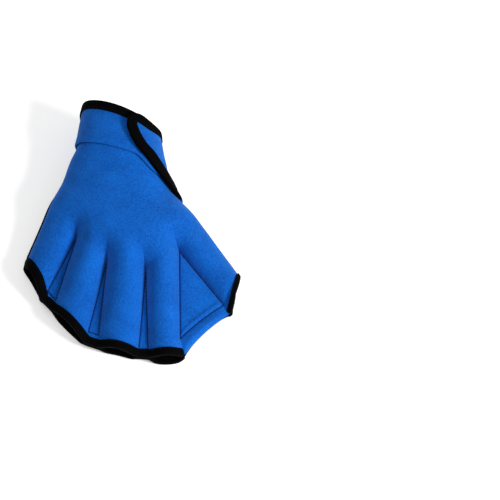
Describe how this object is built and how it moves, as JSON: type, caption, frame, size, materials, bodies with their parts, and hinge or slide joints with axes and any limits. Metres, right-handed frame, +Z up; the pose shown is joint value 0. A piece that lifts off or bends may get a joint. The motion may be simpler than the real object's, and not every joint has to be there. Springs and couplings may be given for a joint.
{
  "type": "webbed swim glove",
  "caption": "Open-fingered swim glove with webs between the digits, bound edges and a wrist strap that wraps round to a hook-and-loop tab.",
  "frame": {"origin": "on the flat of the palm, under the middle of the hand, on the surface that the glove lies on", "axes": "+Z up out of the back of the hand, +Y towards the wrist opening, +X towards the thumb"},
  "size_m": [0.1785, 0.2191, 0.0537],
  "materials": {
    "blue_cloth": "matt jersey over foam",
    "black_cloth": "matt jersey over foam",
    "black_tape": "matt ribbed tape",
    "hook_tape": "matt"
  },
  "bodies": {
    "root": {"back_panel": "blue_cloth", "palm_panel": "black_cloth", "ring_web": "blue_cloth", "middle_web": "blue_cloth", "index_web": "blue_cloth", "thumb_web": "blue_cloth", "wrist_strap": "blue_cloth", "hook_patch": "hook_tape", "wrist_binding": "black_tape", "finger_binding": "black_tape", "thumb_binding": "black_tape"}
  },
  "joints": []
}
